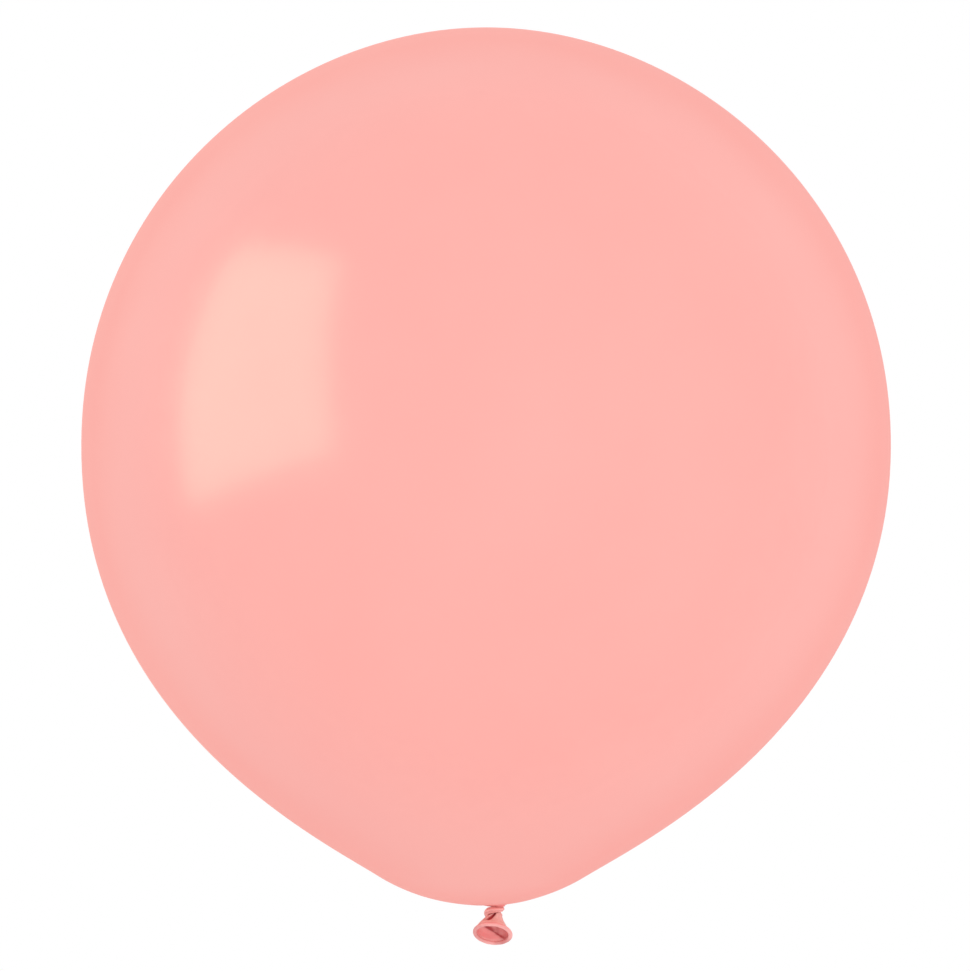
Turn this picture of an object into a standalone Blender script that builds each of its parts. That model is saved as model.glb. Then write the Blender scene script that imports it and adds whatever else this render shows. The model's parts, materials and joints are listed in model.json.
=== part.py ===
# Round latex balloon, blown up and tied off with an overhand knot in its own neck.
# Metres, +Z up, the camera side is -Y. The origin is the middle of the pinched neck,
# just under the bubble, where a ribbon would be tied.

import math

import bpy
import numpy as np
from mathutils import Matrix
from mathutils import Vector

MM = 0.001

# Bubble: the blown-up film
BUBBLE_RADIUS = 240.0 * MM
BUBBLE_HEIGHT = 521.0 * MM
WIDEST_HEIGHT = 273.1 * MM
CROWN_REACH = 118.0 * MM
SHOULDER_REACH = 149.9 * MM
FLANK_REACH = 161.9 * MM
TAPER_REACH = 44.0 * MM
BOTTOM_RADIUS = 118.0 * MM
BOTTOM_ANGLE = math.radians(31.8)
FILM_THICKNESS = 0.014 * MM
FILM_RISE = 1.2 * MM
OPENING_RADIUS = 8.0 * MM

# The neck hangs off the bubble's own axis, and the bottom cap's film is drawn over to it
NECK_OFFSET = 7.5 * MM
NECK_DRAW_RADIUS = 40.0 * MM

# Throat: the gathered shoulder of the neck, closing the bubble's opening
THROAT_WALL = 0.8 * MM

# Neck stem: the round end that rocks in the throat and narrows into the knot's strand
STEM_RADIUS = 2.6 * MM
STEM_FOOT_DROP = 0.6 * MM

# Tail: the open end of the neck, below the knot
TAIL_PIVOT = Vector((0.3, -2.5, -6.7)) * MM
TAIL_LEAN_FORWARD = math.radians(36.0)
TAIL_LEAN_LEFT = math.radians(12.0)
TAIL_BALL_RADIUS = 2.5 * MM
TAIL_LENGTH = 9.7 * MM
TAIL_FLARE_REACH = 0.8 * MM
TAIL_BELL_REACH = 5.5 * MM
TAIL_BELL_ANGLE = math.radians(15.0)
TAIL_WALL = 0.5 * MM
TAIL_FLOOR_DROP = 0.9 * MM

# Rolled lip round the mouth
LIP_RADIUS = 10.4 * MM
LIP_BEAD_RADIUS = 1.0 * MM

# Clearance between pieces that touch or turn on each other
GAP = 0.3 * MM

# Overhand knot: points (x, y, z) and strand radius in mm, down from the stem, round the
# back of the knot, across its front and once round the neck. The last stretch goes
# through the loop towards the tail's pivot and is worked out from that.
KNOT_ROUTE = (
    (0.09, 0.00, -2.10, 1.24),
    (1.01, 0.18, -3.20, 1.10),
    (1.93, 0.74, -4.40, 1.06),
    (2.39, 2.02, -5.68, 1.10),
    (0.64, 3.40, -6.88, 1.20),
    (-2.21, 3.40, -6.97, 1.29),
    (-4.60, 1.66, -5.78, 1.38),
    (-5.06, -1.01, -3.75, 1.56),
    (-3.22, -3.50, -2.37, 1.75),
    (0.18, -4.23, -2.00, 1.75),
    (3.22, -2.67, -1.91, 1.75),
    (4.23, 0.37, -1.91, 1.75),
    (3.04, 3.40, -2.10, 1.56),
    (0.55, 4.97, -2.37, 1.38),
    (-2.02, 4.69, -2.74, 1.20),
    (-2.58, 2.94, -3.20, 1.01),
)
KNOT_TOP_RADIUS = 1.8 * MM
KNOT_END_RADIUS = 1.2 * MM
KNOT_THROUGH_RADIUS = 1.0 * MM
KNOT_THROUGH_LENGTH = 2.0 * MM
KNOT_NEIGHBOUR_SPAN = 4.0  # strand radii along it within which stretches are neighbours
KNOT_EXIT_DIRECTION = Vector((-1.9, 3.9, 2.3)).normalized()

# Facets
BUBBLE_STEPS = 56
CROWN_RINGS = 11
BELLY_RINGS = 9
BOTTOM_RINGS = 7
SMALL_STEPS = 32
BALL_RINGS = 8
FLARE_RINGS = 9
KNOT_POINTS_PER_SPAN = 4
KNOT_BEVEL_RESOLUTION = 2
LIP_STEPS = 40
LIP_BEAD_STEPS = 10
MERGE_DISTANCE = 0.001 * MM

# Colours, linear, and how matt the latex is
FILM_PINK = (0.98, 0.45, 0.41, 1.0)
NECK_PINK = (0.90, 0.30, 0.29, 1.0)
KNOT_PINK = (0.86, 0.27, 0.27, 1.0)
TAIL_PINK = (0.95, 0.36, 0.33, 1.0)
LIP_PINK = (0.88, 0.31, 0.30, 1.0)
FILM_ROUGHNESS = 0.3
SLACK_ROUGHNESS = 0.4


def clear_scene():
    for old in list(bpy.data.objects):
        bpy.data.objects.remove(old)


def new_collection(name):
    collection = bpy.data.collections.new(name)
    bpy.context.scene.collection.children.link(collection)
    return collection


def latex(name, colour, roughness):
    material = bpy.data.materials.new(name)
    material.use_nodes = True
    shader = material.node_tree.nodes["Principled BSDF"]
    shader.inputs["Base Color"].default_value = colour
    shader.inputs["Roughness"].default_value = roughness
    shader.inputs["Metallic"].default_value = 0.0
    material.diffuse_color = colour
    return material


def arc(radius, first, last, rings):
    """Points (r, z) on a circle round the origin, angles measured from +Z."""
    angles = np.linspace(first, last, rings + 1)
    return [(radius * math.sin(a), radius * math.cos(a)) for a in angles]


def bezier(start, first_handle, last_handle, end, rings):
    """Points (r, z) on a cubic, both ends included."""
    points = []
    for t in np.linspace(0.0, 1.0, rings + 1):
        s = 1.0 - t
        weights = (s**3, 3.0 * s * s * t, 3.0 * s * t * t, t**3)
        corners = (start, first_handle, last_handle, end)
        points.append(tuple(sum(w * c[i] for w, c in zip(weights, corners)) for i in (0, 1)))
    return points


def profile_mesh(name, profile):
    mesh = bpy.data.meshes.new(name)
    vertices = [(r, 0.0, z) for r, z in profile]
    edges = [(i, i + 1) for i in range(len(profile) - 1)]
    mesh.from_pydata(vertices, edges, [])
    return mesh


def add_screw(piece, steps):
    screw = piece.modifiers.new("Turn", "SCREW")
    screw.steps = steps
    screw.render_steps = steps
    screw.use_merge_vertices = True
    screw.merge_threshold = MERGE_DISTANCE
    screw.use_smooth_shade = True


def add_object(name, data, collection, material):
    piece = bpy.data.objects.new(name, data)
    collection.objects.link(piece)
    data.materials.append(material)
    return piece


def turned(name, profile, steps, collection, material):
    """A piece turned about Z from a profile that runs down its outer side."""
    piece = add_object(name, profile_mesh(name, profile), collection, material)
    add_screw(piece, steps)
    return piece


def evaluated_mesh(piece):
    bpy.context.view_layer.update()
    graph = bpy.context.evaluated_depsgraph_get()
    return bpy.data.meshes.new_from_object(piece.evaluated_get(graph))


def empty(name, place, collection):
    point = bpy.data.objects.new(name, None)
    point.empty_display_size = LIP_RADIUS
    point.location = place
    collection.objects.link(point)
    return point


def bubble_profile():
    """The film's outline from the crown down to the opening, z from the pivot."""
    crown = (0.0, BUBBLE_HEIGHT)
    widest = (BUBBLE_RADIUS, WIDEST_HEIGHT)
    cap_edge = (
        BOTTOM_RADIUS * math.sin(BOTTOM_ANGLE),
        BOTTOM_RADIUS * (1.0 - math.cos(BOTTOM_ANGLE)),
    )
    taper = (
        cap_edge[0] + TAPER_REACH * math.cos(BOTTOM_ANGLE),
        cap_edge[1] + TAPER_REACH * math.sin(BOTTOM_ANGLE),
    )
    upper = bezier(
        crown,
        (CROWN_REACH, BUBBLE_HEIGHT),
        (BUBBLE_RADIUS, WIDEST_HEIGHT + SHOULDER_REACH),
        widest,
        CROWN_RINGS,
    )
    lower = bezier(widest, (BUBBLE_RADIUS, WIDEST_HEIGHT - FLANK_REACH), taper, cap_edge, BELLY_RINGS)
    opening_angle = math.asin(OPENING_RADIUS / BOTTOM_RADIUS)
    cap = []
    for angle in np.linspace(BOTTOM_ANGLE, opening_angle, BOTTOM_RINGS + 1):
        cap.append((BOTTOM_RADIUS * math.sin(angle), BOTTOM_RADIUS * (1.0 - math.cos(angle))))
    return [(r, z + FILM_RISE) for r, z in upper + lower[1:] + cap[1:]]


def draw_to_neck(mesh):
    """Sets the bubble off the neck's axis, and draws the film of its bottom cap over to it."""
    edge_height = bubble_profile()[-1][1]
    for vertex in mesh.vertices:
        x, y, z = vertex.co
        t = (math.hypot(x, y) - OPENING_RADIUS) / (NECK_DRAW_RADIUS - OPENING_RADIUS)
        t = 1.0 if z > WIDEST_HEIGHT else min(max(t, 0.0), 1.0)
        share = t * t * (3.0 - 2.0 * t)
        vertex.co.x = x - NECK_OFFSET * share
        if share < 1.0:
            out = math.hypot(vertex.co.x + NECK_OFFSET, y)
            cap_height = FILM_RISE + BOTTOM_RADIUS - math.sqrt(BOTTOM_RADIUS**2 - out**2)
            vertex.co.z = edge_height + (cap_height - edge_height) * share


def make_bubble(collection):
    """Thin film, open where the neck was drawn in."""
    lathe = bpy.data.objects.new("bubble_lathe", profile_mesh("bubble_lathe", bubble_profile()))
    collection.objects.link(lathe)
    add_screw(lathe, BUBBLE_STEPS)
    mesh = evaluated_mesh(lathe)
    bpy.data.objects.remove(lathe)
    draw_to_neck(mesh)
    bubble = add_object("bubble", mesh, collection, latex("blown latex film", FILM_PINK, FILM_ROUGHNESS))
    shell = bubble.modifiers.new("Film", "SOLIDIFY")
    shell.thickness = FILM_THICKNESS
    shell.offset = -1.0
    shell.use_even_offset = True
    return bubble


def make_throat(collection):
    """Brim across the bubble's opening and a cup round the stem's ball, in one wall."""
    edge_height = bubble_profile()[-1][1]
    brim_radius = OPENING_RADIUS - GAP
    cup_radius = STEM_RADIUS + GAP
    dome_radius = cup_radius + THROAT_WALL
    brim_top = edge_height + THROAT_WALL
    dome_edge = math.acos(brim_top / dome_radius)
    cup_edge = math.acos(edge_height / cup_radius)
    profile = arc(dome_radius, 0.0, dome_edge, BALL_RINGS)
    profile += [(brim_radius, brim_top), (brim_radius, edge_height)]
    profile += arc(cup_radius, cup_edge, 0.0, BALL_RINGS)
    material = latex("gathered latex neck", NECK_PINK, SLACK_ROUGHNESS)
    return turned("throat", profile, SMALL_STEPS, collection, material)


def make_neck_stem(collection):
    """Ball in the throat's cup, narrowing to a flat foot that the knot hangs from."""
    profile = arc(STEM_RADIUS, 0.0, math.pi / 2.0, BALL_RINGS)
    profile += [(KNOT_TOP_RADIUS, -STEM_FOOT_DROP), (0.0, -STEM_FOOT_DROP)]
    material = latex("pinched latex stem", NECK_PINK, SLACK_ROUGHNESS)
    return turned("neck_stem", profile, SMALL_STEPS, collection, material)


def knot_path():
    """The strand's centre line and radius, as smooth points through the route."""
    top = (0.0, 0.0, -STEM_FOOT_DROP - GAP, KNOT_TOP_RADIUS)
    end = TAIL_PIVOT + KNOT_EXIT_DIRECTION * (TAIL_BALL_RADIUS + GAP)
    through = end + KNOT_EXIT_DIRECTION * KNOT_THROUGH_LENGTH
    route = [np.array(top)]
    route += [np.array(point) * MM for point in KNOT_ROUTE]
    route += [np.array((*through, KNOT_THROUGH_RADIUS)), np.array((*end, KNOT_END_RADIUS))]
    before = 2.0 * route[0] - route[1]
    after = 2.0 * route[-1] - route[-2]
    guides = [before] + route + [after]
    path = []
    for a, b, c, d in zip(guides, guides[1:], guides[2:], guides[3:]):
        for t in np.arange(KNOT_POINTS_PER_SPAN) / KNOT_POINTS_PER_SPAN:
            bend = (2.0 * a - 5.0 * b + 4.0 * c - d) * t * t
            swing = (3.0 * b - a - 3.0 * c + d) * t**3
            path.append(0.5 * (2.0 * b + (c - a) * t + bend + swing))
    return np.array(path + [route[-1]])


def least_gap(path):
    """Least clear distance between stretches of the strand that aren't neighbours."""
    places = path[:, :3]
    radii = path[:, 3]
    steps = np.linalg.norm(np.diff(places, axis=0), axis=1)
    along = np.concatenate([[0.0], np.cumsum(steps)])
    clear = np.linalg.norm(places[:, None] - places[None], axis=2) - radii[:, None] - radii[None]
    apart = np.abs(along[:, None] - along[None]) > KNOT_NEIGHBOUR_SPAN * radii.max()
    return clear[apart].min()


def make_knot(collection):
    """The neck itself, gathered into one strand and tied in an overhand knot."""
    path = knot_path()
    print("knot: least gap to itself %.2f mm" % (least_gap(path) / MM))
    curve = bpy.data.curves.new("knot", "CURVE")
    curve.dimensions = "3D"
    curve.bevel_depth = 1.0
    curve.bevel_resolution = KNOT_BEVEL_RESOLUTION
    curve.use_fill_caps = True
    strand = curve.splines.new("POLY")
    strand.points.add(len(path) - 1)
    strand.use_smooth = True
    for point, (x, y, z, radius) in zip(strand.points, path):
        point.co = (x, y, z, 1.0)
        point.radius = radius
    return add_object("knot", curve, collection, latex("knotted latex", KNOT_PINK, SLACK_ROUGHNESS))


def flare(radius_in, radius_out, top):
    """The tail's bell curve from its narrow end to its mouth."""
    bell_handle = (
        radius_out - TAIL_BELL_REACH * math.sin(TAIL_BELL_ANGLE),
        TAIL_BELL_REACH * math.cos(TAIL_BELL_ANGLE) - TAIL_LENGTH,
    )
    return bezier(
        (radius_in, top),
        (radius_in, top - TAIL_FLARE_REACH),
        bell_handle,
        (radius_out, -TAIL_LENGTH),
        FLARE_RINGS,
    )


def make_tail_funnel(collection, pivot):
    """Bell of slack latex below the knot, hung on a ball and open at its mouth."""
    mouth_radius = LIP_RADIUS - LIP_BEAD_RADIUS - GAP
    floor = -TAIL_FLOOR_DROP
    ball = arc(TAIL_BALL_RADIUS, 0.0, math.pi / 2.0, BALL_RINGS)
    outside = flare(TAIL_BALL_RADIUS, mouth_radius, 0.0)
    inside = flare(TAIL_BALL_RADIUS - TAIL_WALL, mouth_radius - TAIL_WALL, floor)
    profile = ball + outside[1:] + inside[::-1] + [(0.0, floor)]
    material = latex("slack latex tail", TAIL_PINK, SLACK_ROUGHNESS)
    funnel = turned("tail_funnel", profile, SMALL_STEPS, collection, material)
    funnel.parent = pivot
    return funnel


def make_rolled_lip(collection, pivot):
    """Bead rolled at the mouth's edge."""
    bpy.ops.mesh.primitive_torus_add(
        major_segments=LIP_STEPS,
        minor_segments=LIP_BEAD_STEPS,
        major_radius=LIP_RADIUS,
        minor_radius=LIP_BEAD_RADIUS,
    )
    made = bpy.context.active_object
    mesh = made.data
    bpy.data.objects.remove(made)
    mesh.name = "rolled_lip"
    mesh.transform(Matrix.Translation((0.0, 0.0, -TAIL_LENGTH)))
    mesh.shade_smooth()
    lip = add_object("rolled_lip", mesh, collection, latex("rolled latex bead", LIP_PINK, SLACK_ROUGHNESS))
    lip.parent = pivot
    return lip


def main():
    clear_scene()
    collection = new_collection("latex_balloon")
    make_bubble(collection)
    make_throat(collection)
    neck_pivot = empty("neck_pivot", (0.0, 0.0, 0.0), collection)
    stem = make_neck_stem(collection)
    stem.parent = neck_pivot
    knot = make_knot(collection)
    knot.parent = neck_pivot
    tail_pivot = empty("tail_pivot", TAIL_PIVOT, collection)
    tail_pivot.rotation_euler = (-TAIL_LEAN_FORWARD, TAIL_LEAN_LEFT, 0.0)
    make_tail_funnel(collection, tail_pivot)
    make_rolled_lip(collection, tail_pivot)


main()
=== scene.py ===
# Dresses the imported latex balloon: one blown skin gathered into its neck, the knotted strand,
# the spread tail and its rolled lip, on a pale floor under soft studio light.
# Metres, +Z up, the camera side is -Y, the origin is the middle of the pinched neck.

import json
import math

import bmesh
import bpy
import numpy as np
from mathutils import Euler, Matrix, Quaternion, Vector


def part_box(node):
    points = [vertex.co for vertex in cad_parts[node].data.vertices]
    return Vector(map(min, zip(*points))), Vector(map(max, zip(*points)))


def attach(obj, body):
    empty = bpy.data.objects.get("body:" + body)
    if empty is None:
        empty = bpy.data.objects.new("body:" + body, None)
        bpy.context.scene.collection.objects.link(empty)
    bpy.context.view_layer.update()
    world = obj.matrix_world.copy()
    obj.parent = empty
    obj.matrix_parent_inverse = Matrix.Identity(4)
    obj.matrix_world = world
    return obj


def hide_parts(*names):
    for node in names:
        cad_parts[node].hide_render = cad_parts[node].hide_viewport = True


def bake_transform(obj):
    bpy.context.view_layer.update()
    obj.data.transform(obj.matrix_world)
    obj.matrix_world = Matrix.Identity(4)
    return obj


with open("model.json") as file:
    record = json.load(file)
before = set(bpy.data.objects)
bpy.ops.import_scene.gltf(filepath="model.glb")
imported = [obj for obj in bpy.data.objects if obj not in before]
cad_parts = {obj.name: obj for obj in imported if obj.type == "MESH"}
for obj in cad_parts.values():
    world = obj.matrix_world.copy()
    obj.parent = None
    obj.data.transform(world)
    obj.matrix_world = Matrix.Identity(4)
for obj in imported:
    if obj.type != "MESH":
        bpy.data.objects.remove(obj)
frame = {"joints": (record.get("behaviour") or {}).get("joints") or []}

bl_info = {
    "name": "Latex balloon",
    "version": (1, 0, 0),
    "blender": (4, 5, 0),
    "location": "3D View > Sidebar > Balloon",
    "description": "Builds the looks of a tied latex balloon over its packed frame",
    "category": "Object",
}

MM = 0.001
FULL_TURN = 2.0 * np.pi
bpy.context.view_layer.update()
BUBBLE_LOW, BUBBLE_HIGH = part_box("bubble")

# Rings down the skin's crown, flank, bottom cap and throat
CROWN_ROWS = 60
FLANK_ROWS = 56
CAP_ROWS = 40
THROAT_ROWS = 56

# Steps round the lip, round its bead and round the floor
LIP_STEPS = 180
BEAD_STEPS = 36
FLOOR_STEPS = 96

# The camera's sensor in millimetres, and how far it sees
SENSOR = 36.0
CAMERA_SIGHT = 50.0

# Where the fill light stands, its width, and where the softbox shows on the skin, in radii of
# the bubble from its middle
FILL_PLACE = Vector((0.6, -2.3, -0.1))
FILL_SIZE = 1.6
SOFTBOX_SHOWN = Vector((-0.57, -0.80, 0.17))

# Latex: its refractive index, how much rougher it is edge on, how late that sets in, and what
# dust adds
LATEX_IOR = 1.52
EDGE_DRYNESS = 2.4
EDGE_POWER = 4.0
DUST = 0.09

# Roughness of the blown film, from its glossiest to its driest places, the least roughness of the
# slack latex, and how far that varies
FILM_SATIN = (0.145, 0.175)
SLACK_SATIN = {"knot": 0.315, "tail": 0.335, "lip": 0.295}
SATIN_SPREAD = 0.06

# Fine relief: its size, how many finer waves ride on it, its strength and its height
FILM_WAVES = (6.0 * MM, 2.0, 0.12, 0.1 * MM)
SLACK_WRINKLES = (0.5 * MM, 3.0, 0.25, 0.06 * MM)

# Painted shade: how much deeper the strand's colour is in its pleats and where it is pressed
PLEAT_SHADE_TONE = 1.6
PRESSED_SHADE_TONE = 1.2

# How much deeper the tail's colour is under the strand (painted shadow, partly latex lying double) and
# at its back (painted shade), how much paler its inside is on the left and at the rim (painted light),
# and where the rim starts
TUCK_SHADOW_TONE = 0.8
BACK_SHADE_TONE = 0.16
LEFT_LIGHT_TONE = 0.15
RIM_LIGHT_TONE = 0.7
RIM_START = 0.86

# Painted shade: how much deeper the mouth's fold is in colour along its foot, at its start and on the
# right
FOOT_SHADE_TONE = 0.7
START_SHADE_TONE = 0.5
RIGHT_SHADE_TONE = 0.18

# How sharply the gathers fade, and how sharp the neck's fold and the lip's groove are, as powers
GATHER_POWER = 3.0
FOLD_POWER = 1.5
GROOVE_POWER = 60.0

# Where the floor fades into the surround, as shares of its radius
FLOOR_FADE = (0.45, 0.98)

# The slit under the knot: its width and depth as shares of the bell's, and how soon it opens
SLIT_WIDTH = 0.75
SLIT_DEPTH = 0.03
SLIT_LENGTH = 0.4

# The depth of a crease at which its painted shade is deepest, and the least share of it that flat
# stretches of the bell take on
DEEP_CREASE = 1.2 * MM
FLAT_SHARE = 0.45

# Kinds of node that come up often, and the setting for a range with soft ends
MATH = "ShaderNodeMath"
VECTOR = "ShaderNodeVectorMath"
RANGE = "ShaderNodeMapRange"
NOISE = "ShaderNodeTexNoise"
SMOOTH = {"interpolation_type": "SMOOTHSTEP"}

# Settings that go into the geometry trees
SKIN_INPUTS = (
    "pleat_depth", "pleat_reach", "pleat_scale", "swirl", "offset", "opening", "draw", "sway", "fold",
    "widest", "bottom_radius", "neck",
)
LIP_INPUTS = ("lip_radius", "bead_radius", "bead_wave", "roll_depth")

# The height below which the bubble hangs over to the left in full
SWAY_HEIGHT = 90.0 * MM

# The way that the neck's larger fold stands out
FOLD_WAY = (0.90, -0.43, 0.0)

# Where the rolled lip has painted shade, on the left and low on the right: the way there, where that
# starts and how deep it is
LIP_SHADE_PATCHES = (((-1.0, 0.0, 0.0), 0.2, 0.28), ((0.72, 0.69, 0.0), 0.75, 0.45))

# The strand of the overhand knot, as the CAD solid runs but raised in front against the bubble:
# x, y, z and radius in mm, down from the neck, round the back, across the front, once round the
# neck and into the tail
KNOT_ROUTE = (
    (0.0, 0.0, -0.9, 1.8),
    (0.09, 0.00, -2.10, 1.24),
    (1.01, 0.18, -3.20, 1.10),
    (1.93, 0.74, -4.40, 1.06),
    (2.39, 2.02, -5.68, 1.10),
    (0.64, 3.40, -6.88, 1.20),
    (-2.21, 3.40, -6.97, 1.29),
    (-4.60, 1.66, -5.30, 1.38),
    (-5.00, -1.01, -2.95, 1.52),
    (-3.22, -3.50, -1.70, 1.55),
    (0.10, -4.23, -1.12, 1.40),
    (2.60, -2.75, -0.95, 1.35),
    (3.30, 0.33, -1.05, 1.40),
    (2.60, 3.30, -1.45, 1.40),
    (0.55, 4.97, -2.10, 1.38),
    (-2.02, 4.69, -2.60, 1.20),
    (-2.58, 2.94, -3.20, 1.01),
    (-1.56, 1.31, -4.45, 1.00),
    (-0.78, -0.28, -5.39, 1.20),
    (-0.90, -1.70, -6.00, 0.90),
    (-0.95, -2.60, -6.30, 0.50),
)

# The skin's throat from the bubble's bottom over its collar down into the knot: radius and
# height in mm
THROAT = (
    (6.70, 1.14),
    (5.75, 0.92),
    (5.25, 0.68),
    (4.80, 0.50),
    (4.00, 0.42),
    (3.10, 0.34),
    (2.50, 0.10),
    (2.30, -0.40),
    (2.30, -1.20),
    (2.30, -2.20),
)

# Pleats along the strand: angle at its start, turn per mm of strand, depth as a share of its
# radius and width in radians
STRAND_PLEATS = (
    (0.25, 0.050, 0.20, 0.17),
    (0.95, 0.034, 0.10, 0.11),
    (1.55, 0.046, 0.17, 0.15),
    (2.35, 0.060, 0.22, 0.18),
    (2.95, 0.040, 0.09, 0.10),
    (3.65, 0.052, 0.18, 0.16),
    (4.30, 0.036, 0.12, 0.12),
    (4.95, 0.056, 0.21, 0.17),
    (5.65, 0.044, 0.12, 0.13),
)

# The tail's bell from inside the knot to its mouth: middle x, y and z, half width and half
# depth in mm, and lean forward and to the left in degrees
BELL_SECTIONS = (
    (0.0, -2.2, -3.2, 2.6, 1.6, 0.0, 0.0),
    (-0.4, -2.5, -4.4, 3.9, 2.1, 4.0, 1.0),
    (-1.0, -2.9, -5.8, 5.0, 2.8, 10.0, 3.0),
    (-1.4, -3.5, -7.4, 6.1, 3.8, 17.0, 5.0),
    (-1.7, -4.4, -9.2, 7.5, 5.3, 24.0, 5.5),
    (-1.8, -5.7, -11.15, 8.9, 7.3, 30.0, 6.5),
    (-1.85, -7.05, -12.97, 9.75, 9.0, 34.0, 7.0),
    (-1.8, -8.67, -15.0, 10.4, 10.4, 36.0, 7.0),
)

# Creases down the bell: angle round it at the knot, drift towards the mouth in radians, depth
# in mm, width in radians and how far down it reaches as a share of the bell
BELL_CREASES = (
    (-2.70, 0.10, 0.60, 0.15, 0.75),
    (-1.77, -0.65, 4.00, 0.23, 0.50),
    (-0.95, 0.10, 0.15, 0.14, 0.75),
    (-0.30, -0.05, 0.45, 0.16, 0.70),
    (0.40, 0.10, 0.55, 0.15, 0.85),
    (1.05, 0.15, 0.70, 0.16, 0.80),
    (1.75, -0.12, 0.60, 0.15, 0.75),
    (2.40, 0.10, 0.80, 0.18, 0.85),
    (2.95, 0.08, 0.50, 0.16, 0.70),
)

# The fold across the inside of the mouth: shares of the tail's length and angles round it, the
# shares between which it rises and, back from the lip, ends, and the widths of its two sides
MOUTH_FOLD = ((0.5, 0.6, 0.7, 0.8, 0.9, 1.0), (2.70, 2.07, 1.36, 1.00, 0.78, 0.62))
MOUTH_RISE = (0.5, 0.65)
MOUTH_END = (1.0, 0.88)
STEEP_SIDE = 0.12
SLOPED_SIDE = 0.6

# The fold's painted shade: the shares between which it rises, its widths past the crest and over
# the foot, how far it reaches there and its least amount
SHADE_RISE = (0.45, 0.6)
SHADE_CREST = 0.16
SHADE_FOOT = 0.35
SHADE_REACH = 1.6
SHADE_LEAST = 0.25

# The painted shade at the fold's start under the knot: its share of the tail's length, its length and
# width
MOUTH_START = 0.60
START_LENGTH = 0.06
START_WIDTH = 0.5


def linear(hex_colour):
    """An sRGB hex colour as linear red, green and blue."""
    parts = []
    for start in (0, 2, 4):
        value = int(hex_colour[start:start + 2], 16) / 255.0
        parts.append(value / 12.92 if value <= 0.04045 else ((value + 0.055) / 1.055) ** 2.4)
    return tuple(parts)


def number(name, description, default, **options):
    return bpy.props.FloatProperty(name=name, description=description, default=default, **options)


def length(name, description, default):
    return number(name, description, default, precision=5, unit="LENGTH")


def angle(name, description, degrees):
    return number(name, description, math.radians(degrees), subtype="ANGLE")


def count(name, description, default):
    return bpy.props.IntProperty(name=name, description=description, default=default, min=3)


def colour(name, description, hex_colour):
    return bpy.props.FloatVectorProperty(
        name=name, description=description, default=linear(hex_colour),
        min=0.0, max=1.0, size=3, subtype="COLOR",
    )


class SkinSizes(bpy.types.PropertyGroup):
    """Sizes of the blown skin and its gathered neck."""

    radius: length("Radius", "Half the bubble's width", (BUBBLE_HIGH.x - BUBBLE_LOW.x) / 2.0)
    crown: length("Crown", "Height of the bubble's top above the neck", BUBBLE_HIGH.z)
    widest: length("Widest", "Height of the widest ring above the neck", 274.3 * MM)
    crown_reach: length("Crown reach", "How far the flat of the crown reaches out", 118.0 * MM)
    shoulder_reach: length("Shoulder reach", "How far up the sides stay steep", 149.9 * MM)
    flank_reach: length("Flank reach", "How far down the sides stay steep", 161.9 * MM)
    taper_reach: length("Taper reach", "How far out the taper runs from the bottom cap", 44.0 * MM)
    bottom_radius: length("Bottom radius", "Radius of the round cap above the knot", 118.0 * MM)
    bottom_angle: angle("Bottom angle", "Half the angle that the bottom cap takes in", 31.8)
    rise: length("Rise", "Height of the bottom cap above the neck's middle", 1.2 * MM)
    opening: length("Opening", "Radius at which the skin turns down into the neck", 8.0 * MM)
    neck: length("Neck", "Radius of the neck inside the knot", THROAT[-1][0] * MM)
    offset: length(
        "Offset", "How far the bubble's axis stands left of the neck",
        -(BUBBLE_HIGH.x + BUBBLE_LOW.x) / 2.0,
    )
    draw: length("Draw radius", "How far round the neck the skin is drawn over to it", 40.0 * MM)
    sway: length("Sway", "How far the lower half hangs over to the left", 1.4 * MM)
    fold: length("Fold", "How far a fold of the neck stands out on the right", 2.0 * MM)
    film: length("Film", "Thickness of the skin's wall", 0.05 * MM)
    pleat_depth: length("Pleat depth", "Depth of the gathers at the neck", 0.8 * MM)
    pleat_reach: length("Pleat reach", "How far from the neck the gathers fade out", 30.0 * MM)
    pleat_scale: number("Pleat scale", "Gathers per radian round the neck, about", 3.6)
    swirl: angle("Swirl", "Turn of the gathers where the neck was twisted", 40.0)
    steps: count("Steps", "Faces round the skin", 224)


class KnotSizes(bpy.types.PropertyGroup):
    """How the neck's strand swells and presses against itself in the knot."""

    swell: length("Swell", "How far the strand stands out from its CAD solid", 0.45 * MM)
    gap: length("Gap", "Clearance left between stretches that press together", 0.03 * MM)
    ceiling: length("Ceiling", "Height at which the knot presses flat under the bubble", 0.35 * MM)
    wrinkle: length("Wrinkle", "Depth of the cross wrinkles inside the bends", 0.10 * MM)
    wrinkle_pitch: length("Wrinkle pitch", "Spacing of the cross wrinkles", 0.9 * MM)
    steps: count("Steps", "Faces round the strand", 96)
    points: count("Points", "Rings for each point of the route", 16)


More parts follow.
